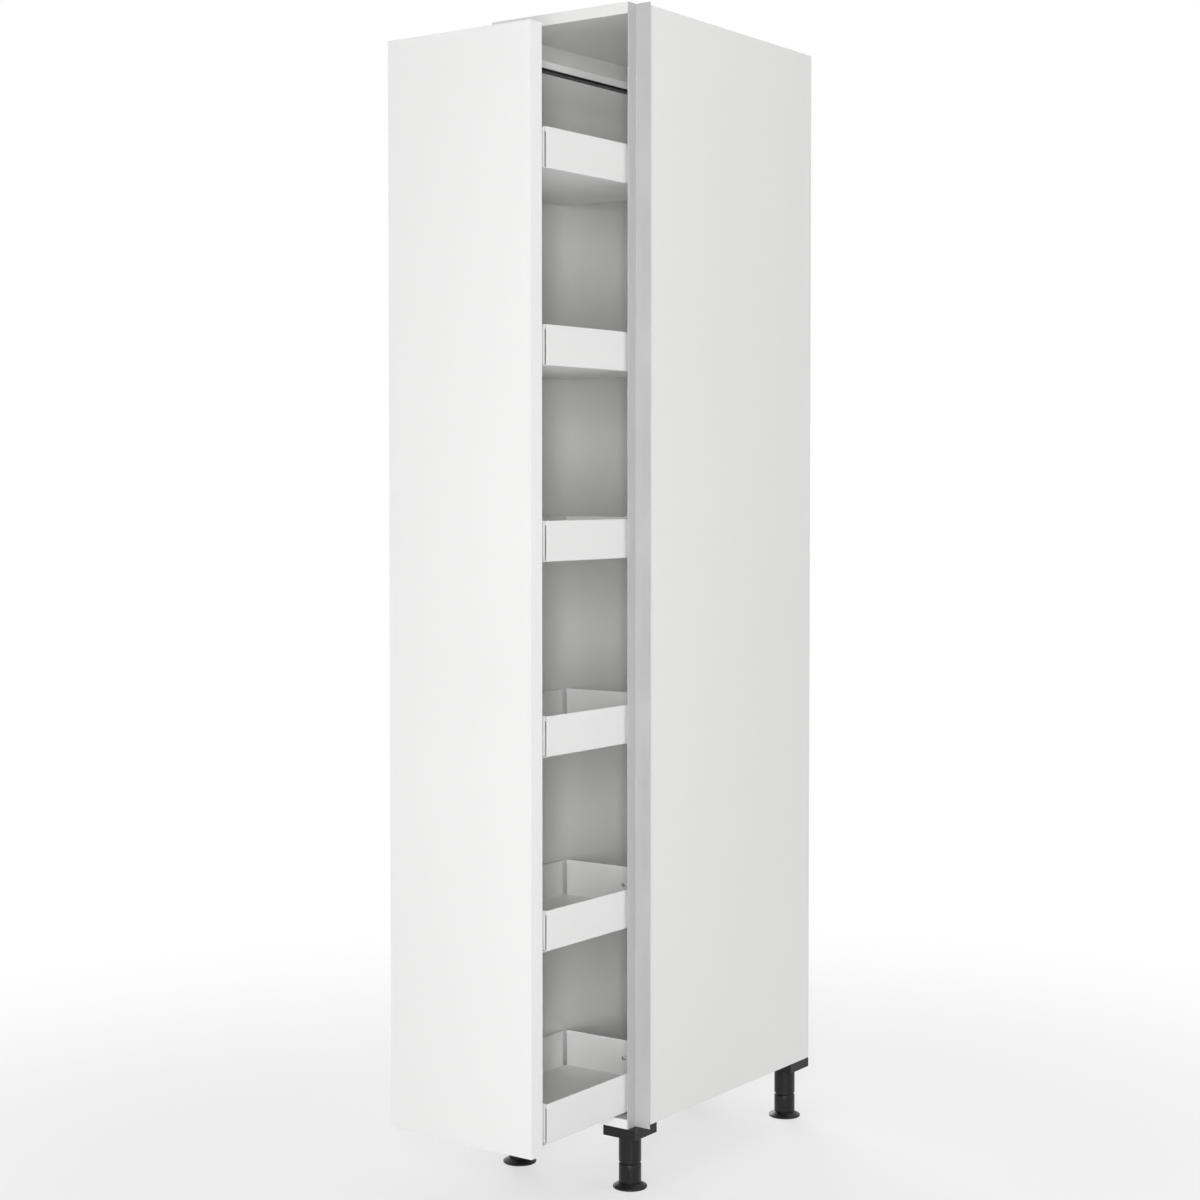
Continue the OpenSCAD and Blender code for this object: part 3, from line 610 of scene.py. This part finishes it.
def with_lips(low, high, half):
    return [(low.x + LIP, high.z - half), (low.x + half, high.z - half),
            (low.x + half, low.z + half), (high.x - half, low.z + half),
            (high.x - half, high.z - half), (high.x - LIP, high.z - half)]


channels = [channel("guide_beam", "top_beam", open_upwards, "frame_white", "pullout")]
for side in ("left", "right"):
    for name, node, corners, body in (
            ("runner_lower", "runner_cabinet", with_lips, "root"),
            ("runner_between", "runner_middle", open_upwards, f"runner_middle_{side}"),
            ("runner_upper", "runner_inner", open_downwards, "pullout")):
        channels.append(channel(f"{name}_{side}", f"{node}_{side}", corners, "zinc_steel", body))
print("channels:", [piece.name for piece in channels])

# %% [markdown]
# ## Where the screws are
#
# Five groups of pan-head screws hold the trays at both ends, the front panel, the legs and the
# top guide. Their places are read from the construction solids: each separate solid of a node
# is one screw. The mesh doesn't say which faces belong together, so corners that share a face
# are gathered.


# %% Finding the separate solids of a node
def separate_solids(node):
    """(lowest corner, highest corner) of each solid in a node, found by shared corners."""
    mesh = nodes[node].data
    leader = {}

    def lead(key):
        while leader.setdefault(key, key) != key:
            leader[key] = leader[leader[key]]
            key = leader[key]
        return key

    keys = [tuple(round(number, 6) for number in vertex.co) for vertex in mesh.vertices]
    for face in mesh.polygons:
        first = lead(keys[face.vertices[0]])
        for index in face.vertices[1:]:
            leader[lead(keys[index])] = first
    corners = {}
    for key in keys:
        corners.setdefault(lead(key), []).append(key)
    return [(Vector([min(p[k] for p in points) for k in range(3)]),
             Vector([max(p[k] for p in points) for k in range(3)]))
            for _, points in sorted(corners.items())]


print("tray screws found:", len(separate_solids("tray_screws")))

# %% [markdown]
# ## Pan-head screws
#
# A screw is a turned piece, so a lathe function makes it from a profile: the point, a ring for
# every turn of the thread, and the domed head. The cross recess isn't round. Its outline is cut
# into the head's flat top by filling the face between the two loops.

# %% Screws
SCREW_RADIUS, CORE_SHARE, POINT_SHARE = 2.0 * MM, 0.72, 0.15
SCREW_PITCH, SCREW_POINT = 1.2 * MM, 3.0 * MM
HEAD_HEIGHT = 2.0 * MM
HEAD_DOME = [(1.0, 0.0), (1.0, 0.35), (0.93, 0.68), (0.78, 0.9), (0.6, 1.0)]
CROSS_REACH, CROSS_WIDTH, CROSS_TAPER, CROSS_DEPTH = 0.46, 0.11, 0.8, 0.7
SCREW_STEPS = 20


def lathe(mesh_code, profile, steps):
    """Turns (radius, height) points round Z and returns the rings; the ends stay open."""
    turns = [2 * math.pi * k / steps for k in range(steps)]
    rings = [[mesh_code.verts.new((radius * math.cos(a), radius * math.sin(a), height)) for a in turns]
             for radius, height in profile]
    for ring, following in zip(rings, rings[1:]):
        bridge(mesh_code, ring, following)
    return rings


def cross_outline(r, w):
    """A cross that reaches r from its middle, with arms of half width w."""
    return [(r, -w), (r, w), (w, w), (w, r), (-w, r), (-w, w),
            (-r, w), (-r, -w), (-w, -w), (-w, -r), (w, -r), (w, -w)]


def screw_profile(length, head_radius):
    """(radius, height) points from the tip to the head's flat top."""
    shank_top = length - HEAD_HEIGHT
    core = SCREW_RADIUS * CORE_SHARE
    profile = [(core * POINT_SHARE, 0), (core, SCREW_POINT)]
    height = SCREW_POINT
    while height + SCREW_PITCH < shank_top:
        profile += [(core, height + 0.35 * SCREW_PITCH), (SCREW_RADIUS, height + 0.5 * SCREW_PITCH),
                    (core, height + 0.65 * SCREW_PITCH)]
        height += SCREW_PITCH
    profile += [(core, shank_top)]
    return profile + [(head_radius * r, shank_top + HEAD_HEIGHT * h) for r, h in HEAD_DOME]


def press_cross(part, rim, length, head_radius):
    """Fills the head's top inside the rim, with a cross recess pressed into it."""
    outline = cross_outline(head_radius * CROSS_REACH, head_radius * CROSS_WIDTH)
    mouth = [part.verts.new((x, y, length)) for x, y in outline]
    bottom = [part.verts.new((v.co.x * CROSS_TAPER, v.co.y * CROSS_TAPER,
                              length - HEAD_HEIGHT * CROSS_DEPTH)) for v in mouth]
    edges = [part.edges.get((a, b)) for a, b in zip(rim, rim[1:] + rim[:1])]
    edges += [part.edges.new((a, b)) for a, b in zip(mouth, mouth[1:] + mouth[:1])]
    bmesh.ops.triangle_fill(part, use_beauty=True, edges=edges)
    bridge(part, mouth, bottom)
    part.faces.new(bottom)


def add_part(mesh_code, part):
    """Moves the mesh code of one part into that of its group."""
    carrier = bpy.data.meshes.new("carrier")
    part.to_mesh(carrier)
    part.free()
    mesh_code.from_mesh(carrier)
    bpy.data.meshes.remove(carrier)


def add_screw(mesh_code, foot, heading, length, head_radius):
    """A screw whose tip is at foot and whose head, at the far end, faces along heading."""
    part = bmesh.new()
    rings = lathe(part, screw_profile(length, head_radius), SCREW_STEPS)
    part.faces.new(rings[0])
    press_cross(part, rings[-1], length, head_radius)
    turn = Vector((0, 0, 1)).rotation_difference(Vector(heading)).to_matrix().to_4x4()
    turn.translation = foot
    bmesh.ops.transform(part, matrix=turn, verts=part.verts)
    add_part(mesh_code, part)


def screw_group(name, node, heading, body):
    """Replaces every screw of a node. heading is the axis direction in which the heads face."""
    axis = max(range(3), key=lambda k: abs(heading[k]))
    made = bmesh.new()
    solids = separate_solids(node)
    for low, high in solids:
        foot = (low + high) / 2
        foot[axis] = low[axis] if heading[axis] > 0 else high[axis]
        widths = [high[k] - low[k] for k in range(3) if k != axis]
        add_screw(made, foot, heading, high[axis] - low[axis], max(widths) / 2)
    print(name, "has", len(solids), "screws")
    return finished(name, made, "zinc_steel", body, (node,), smooth_to=25)


for group, heading, body in (("tray", (0, 1, 0), "pullout"), ("front", (0, 1, 0), "pullout"),
                             ("rear", (0, -1, 0), "pullout"), ("leg", (0, 0, -1), "root"),
                             ("guide", (0, 0, -1), "root")):
    screw_group(f"{group}_pan_screws", f"{group}_screws", heading, body)

# %% [markdown]
# ## Bumpers
#
# Three soft bumpers on the left side board stop the front from slamming. Each is a small dome,
# thick in the middle and thin at its rim, so it's turned from a profile like a button.

# %% Bumpers
BUMPER_SHAPE = [(1.0, 0.0), (1.0, 0.18), (0.9, 0.48), (0.72, 0.74), (0.45, 0.93), (0.16, 1.0)]
BUMPER_STEPS = 24
bumper_code = bmesh.new()
for low, high in separate_solids("shut_bumpers"):
    radius, thick = (high.x - low.x) / 2, high.y - low.y
    one = bmesh.new()
    rings = lathe(one, [(radius * r, thick * h) for r, h in BUMPER_SHAPE], BUMPER_STEPS)
    one.faces.new(rings[0])
    one.faces.new(rings[-1])
    for vertex in one.verts:
        x, y, z = vertex.co
        vertex.co = ((low.x + high.x) / 2 + x, high.y - z, (low.z + high.z) / 2 + y)
    add_part(bumper_code, one)
bumpers = finished("dome_bumpers", bumper_code, "bumper_rubber", "root", ("shut_bumpers",), smooth_to=60)
print("bumpers:", bumpers.name)

# %% [markdown]
# ## Adjustable feet
#
# Each foot is one moulding: a flared pad, a groove, a barrel with a slot for the tool that
# turns it, and a spindle with a coarse round thread. It could be cut out with booleans, but a
# lathe does it all if its rings aren't quite circles. Where a ring crosses the slot, its points
# there go inwards. On the spindle a point's radius follows a wave that climbs as it goes round.

# %% The foot's outline
PAD_EDGE, PAD_RIM_TOP, SOFT_EDGE = 1.0 * MM, 2.3 * MM, 0.4 * MM
GROOVE_LOW, GROOVE_HIGH, BARREL_TOP = 8.5 * MM, 10 * MM, 42 * MM
BARREL_RADIUS, GROOVE_RADIUS = 19 * MM, 17 * MM
SHOULDER_WIDTH, SHOULDER_HEIGHT = 2.5 * MM, 3 * MM
SLOT_LOW, SLOT_HIGH, SLOT_HALF, SLOT_DEPTH = 18 * MM, 34 * MM, 1.5 * MM, 3 * MM
SLOT_END_ANGLES = (12, 35, 60, 90)


def arc(centre, reach, start, end, steps=4):
    """(radius, height) points on an ellipse round centre, between two angles in degrees."""
    angles = [math.radians(start + (end - start) * k / steps) for k in range(steps + 1)]
    return [(centre[0] + reach[0] * math.cos(a), centre[1] + reach[1] * math.sin(a)) for a in angles]


def slot_rows():
    """(height, half width) from the slot's lower tip to its upper one; both ends are round."""
    angles = [math.radians(angle) for angle in SLOT_END_ANGLES]
    end = [(SLOT_HALF * (1 - math.cos(a)), SLOT_HALF * math.sin(a)) for a in angles]
    lower = [(SLOT_LOW, 0)] + [(SLOT_LOW + rise, half) for rise, half in end]
    return lower + [(SLOT_HIGH - rise, half) for rise, half in end[::-1]] + [(SLOT_HIGH, 0)]


def foot_profile(pad_radius):
    """(radius, height, half width of the slot there) from the floor up to the barrel's top."""
    edge, soft = (PAD_EDGE, PAD_EDGE), (SOFT_EDGE, SOFT_EDGE)
    low = arc((pad_radius - PAD_EDGE, PAD_EDGE), edge, -90, 0)
    low += arc((pad_radius - PAD_EDGE, PAD_RIM_TOP), edge, 0, 60)
    low += arc((BARREL_RADIUS, GROOVE_LOW - SOFT_EDGE), soft, 45, 90)
    low += [(GROOVE_RADIUS, GROOVE_LOW), (GROOVE_RADIUS, GROOVE_HIGH)]
    low += arc((BARREL_RADIUS - SOFT_EDGE, GROOVE_HIGH + SOFT_EDGE), soft, -90, 0)
    shoulder = arc((BARREL_RADIUS - SHOULDER_WIDTH, BARREL_TOP - SHOULDER_HEIGHT),
                   (SHOULDER_WIDTH, SHOULDER_HEIGHT), 0, 90, steps=6)
    return ([(radius, height, None) for radius, height in low]
            + [(BARREL_RADIUS, height, half) for height, half in slot_rows()]
            + [(radius, height, None) for radius, height in shoulder])


print("slot from", SLOT_LOW, "to", SLOT_HIGH, "in", len(slot_rows()), "rows")

# %% [markdown]
# ## Rings that aren't circles
#
# All rings have the same number of points, so that bands of faces join them. The first five
# belong to the slot: its edges, its sides and its middle. They turn towards the middle where
# the slot gets narrow, and they lie on the circle where there is no slot. The thread only
# changes how far each point of a ring lies from the axis.

# %% Feet with slot and thread
SPINDLE_RADIUS, THREAD_DEPTH, THREAD_PITCH = 6 * MM, 1.0 * MM, 3.5 * MM
ROWS_PER_TURN = 8
SLOT_DRAFT, SLOT_TIP = 0.15 * MM, 0.1 * MM
SLOT_FACING, SLOT_FREE = math.radians(-60), math.radians(8)
PLAIN_STEPS = 56


def foot_ring(mesh_code, radius, height, slot_half):
    """One ring; slot_half is half the slot's width there, or None away from the slot."""
    half = SLOT_HALF if slot_half is None else max(slot_half, SLOT_TIP)
    depth = SLOT_DEPTH if slot_half else 0.0
    side, edge = half / BARREL_RADIUS, (half + SLOT_DRAFT) / BARREL_RADIUS
    columns = [(-edge, radius), (-side, radius - depth), (0.0, radius - depth),
               (side, radius - depth), (edge, radius)]
    plain = 2 * math.pi - 2 * SLOT_FREE
    columns += [(SLOT_FREE + plain * k / PLAIN_STEPS, radius) for k in range(PLAIN_STEPS + 1)]
    return [mesh_code.verts.new((r * math.cos(SLOT_FACING + a), r * math.sin(SLOT_FACING + a), height))
            for a, r in columns]


def thread_ring(mesh_code, height, low, high):
    """A ring of the spindle. The wave fades out over one pitch at both ends."""
    ring = foot_ring(mesh_code, SPINDLE_RADIUS, height, None)
    fade = max(0.0, min(1.0, (height - low) / THREAD_PITCH, (high - height) / THREAD_PITCH))
    for vertex in ring:
        turn = math.atan2(vertex.co.y, vertex.co.x)
        wave = 0.5 - 0.5 * math.sin(2 * math.pi * height / THREAD_PITCH - turn)
        shrink = (SPINDLE_RADIUS - THREAD_DEPTH * (1 - fade + fade * wave)) / SPINDLE_RADIUS
        vertex.co.x, vertex.co.y = vertex.co.x * shrink, vertex.co.y * shrink
    return ring


def make_foot(node):
    low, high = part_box(node)
    made = bmesh.new()
    rings = [foot_ring(made, *row) for row in foot_profile((high.x - low.x) / 2)]
    top = high.z - low.z
    rows = round((top - BARREL_TOP) / THREAD_PITCH * ROWS_PER_TURN)
    rings += [thread_ring(made, BARREL_TOP + (top - BARREL_TOP) * k / rows, BARREL_TOP, top)
              for k in range(rows + 1)]
    for ring, following in zip(rings, rings[1:]):
        bridge(made, ring, following)
    made.faces.new(rings[0])
    made.faces.new(rings[-1])
    centre = Vector(((low.x + high.x) / 2, (low.y + high.y) / 2, low.z))
    bmesh.ops.translate(made, vec=centre, verts=made.verts)
    return finished("turned_" + node, made, "black_plastic", node, (node,), smooth_to=50)


feet = [make_foot(f"foot_{end}_{side}") for end in ("front", "back") for side in ("left", "right")]
print("feet:", [piece.name for piece in feet], "with", len(feet[0].data.vertices), "points each")

# %% [markdown]
# ## Finishing the construction solids
#
# A solid from the construction model has knife-sharp edges, which look drawn rather than
# made, and it comes as triangles. Four modifiers finish it, and the mesh itself stays as it is.
# A weld joins the corners. A planar decimate turns triangles that lie in one plane into one
# face, because a bevel folds the long thin triangles between two screw holes. The bevel rounds
# the edges by the amount of the real piece. The weighted normals keep the flat faces flat. A
# solid that a new piece stands for is hidden and gets only its finish.

# %% Dressing every solid
WELD_REACH = 0.01 * MM
FLAT_ANGLE, EDGE_ANGLE = math.radians(1), math.radians(35)
BEVEL_STEPS = 2
ROUNDING = {"carcass_white": 0.4 * MM, "front_white": 1.2 * MM, "recess_grey": 0.3 * MM,
            "tray_white": 0.25 * MM, "frame_white": 0.6 * MM, "zinc_steel": 0.2 * MM,
            "black_plastic": 0.6 * MM}
OWN_FINISH = {"fixing_rail": rail_white}
SLOTS = {part["node"]: part["material_slot"] for part in frame["record"]["subparts"]}


def soften(piece, width):
    weld = piece.modifiers.new("weld", "WELD")
    weld.merge_threshold = WELD_REACH
    flat = piece.modifiers.new("flat_faces", "DECIMATE")
    flat.decimate_type, flat.angle_limit = "DISSOLVE", FLAT_ANGLE
    bevel = piece.modifiers.new("rounding", "BEVEL")
    bevel.width, bevel.segments = width, BEVEL_STEPS
    bevel.limit_method, bevel.angle_limit = "ANGLE", EDGE_ANGLE
    bevel.face_strength_mode = "FSTR_AFFECTED"
    shading = piece.modifiers.new("shading", "WEIGHTED_NORMAL")
    shading.use_face_influence = True


for name, piece in sorted(nodes.items()):
    slot = SLOTS[name]
    coat(piece, OWN_FINISH.get(name, FINISHES[slot]))
    if slot in ROUNDING and not piece.hide_render:
        soften(piece, ROUNDING[slot])
print("dressed", len(nodes), "solids in", len(set(SLOTS.values())), "finishes")

# %% [markdown]
# ## Floor and background
#
# The drawing has a plain white ground. The floor is pale and keeps the unit's shadow, and it
# turns into the white of the background further out. Camera, mirror and glass rays see the
# white background, and all the light on the unit comes from soft lamps and a dim sky.

# %% Floor and world
PALE_FLOOR = 0.55
FADE_START, FADE_END = 0.7, 2.2
FLOOR_HALF = 30
SKY_DIM = 0.24
WHITE = rgb(1, 1, 1)


def seen_directly(finish):
    """1 for rays that show the background: to the camera, in a mirror or through glass."""
    camera_ray, glossy_ray, glass_ray = (
        finish.node("LightPath", out=f"Is {kind} Ray") for kind in ("Camera", "Glossy", "Transmission"))
    return finish.node("Math", {"operation": "MINIMUM"}, {0: camera_ray + glossy_ray + glass_ray, 1: 1.0})


def floor_finish():
    finish = Finish("floor")
    away = finish.node("VectorMath", {"operation": "LENGTH"}, {0: finish.place()}, out="Value")
    fade = finish.node("MapRange", {"interpolation_type": "SMOOTHSTEP"},
                       {"Value": away, "From Min": FADE_START, "From Max": FADE_END})
    matt = finish.node("BsdfDiffuse", {}, {"Color": rgb(0.9, 0.9, 0.9)})
    glow = finish.node("Emission", {}, {"Color": WHITE, "Strength": 1.0})
    bright = fade * (1 - PALE_FLOOR) + PALE_FLOOR
    mixed = finish.node("MixShader", {}, {0: bright * seen_directly(finish), 1: matt, 2: glow})
    finish.node("OutputMaterial", {}, {"Surface": mixed})
    return finish.owner


def make_floor(half):
    mesh = bpy.data.meshes.new("floor")
    mesh.from_pydata([(-half, -half, 0), (half, -half, 0), (half, half, 0), (-half, half, 0)],
                     [], [(0, 1, 2, 3)])
    mesh.materials.append(floor_finish())
    floor = put_in_scene("floor", mesh)
    return floor


def make_sky(dim):
    world = bpy.data.worlds.new("sky")
    bpy.context.scene.world = world
    finish = Finish("sky", world)
    sky, white = (finish.node("Background", {}, {"Color": WHITE, "Strength": strength})
                  for strength in (dim, 1.0))
    blend = finish.node("MixShader", {}, {0: seen_directly(finish), 1: sky, 2: white})
    finish.node("OutputWorld", {}, {"Surface": blend})
    return world


floor = make_floor(FLOOR_HALF)
sky = make_sky(SKY_DIM)
print("stage:", floor.name, sky.name)

# %% [markdown]
# ## Lamps
#
# Four soft lamps do what a studio would. A tall narrow one stands beside the camera, because
# light reaches the trays only through the gap that the camera looks into. A high one on the
# right gives the side board a little light, less than the front has, so that the faces differ.
# The other two light the back and the top.

# %% Lamps
LAMPS = {  # name: place, target, width, height, watts
    "by_the_camera": ((2.6, -3.85, 1.2), (0, -0.1, 1.0), 0.55, 2.2, 138),
    "beside": ((3.4, 1.6, 3.6), (0, 0.2, 1.0), 1.6, 1.6, 22),
    "behind": ((-3.0, 3.0, 2.2), (0, 0, 1.0), 2.4, 2.4, 105),
    "overhead": ((0.3, -0.3, 4.6), (0, 0, 1.0), 3.0, 3.0, 40),
}
for name, (place, target, width, height, watts) in LAMPS.items():
    light = bpy.data.lights.new(name, "AREA")
    light.shape, light.size, light.size_y, light.energy = "RECTANGLE", width, height, watts
    lamp = put_in_scene(name, light)
    lamp.location = place
    lamp.rotation_euler = (Vector(target) - Vector(place)).to_track_quat("-Z", "Y").to_euler()
print("lamps:", list(LAMPS))

# %% [markdown]
# ## The end
#
# Standard colour management shows a colour about as it is written.

bpy.context.scene.view_settings.view_transform = "Standard"
print("view transform:", bpy.context.scene.view_settings.view_transform)
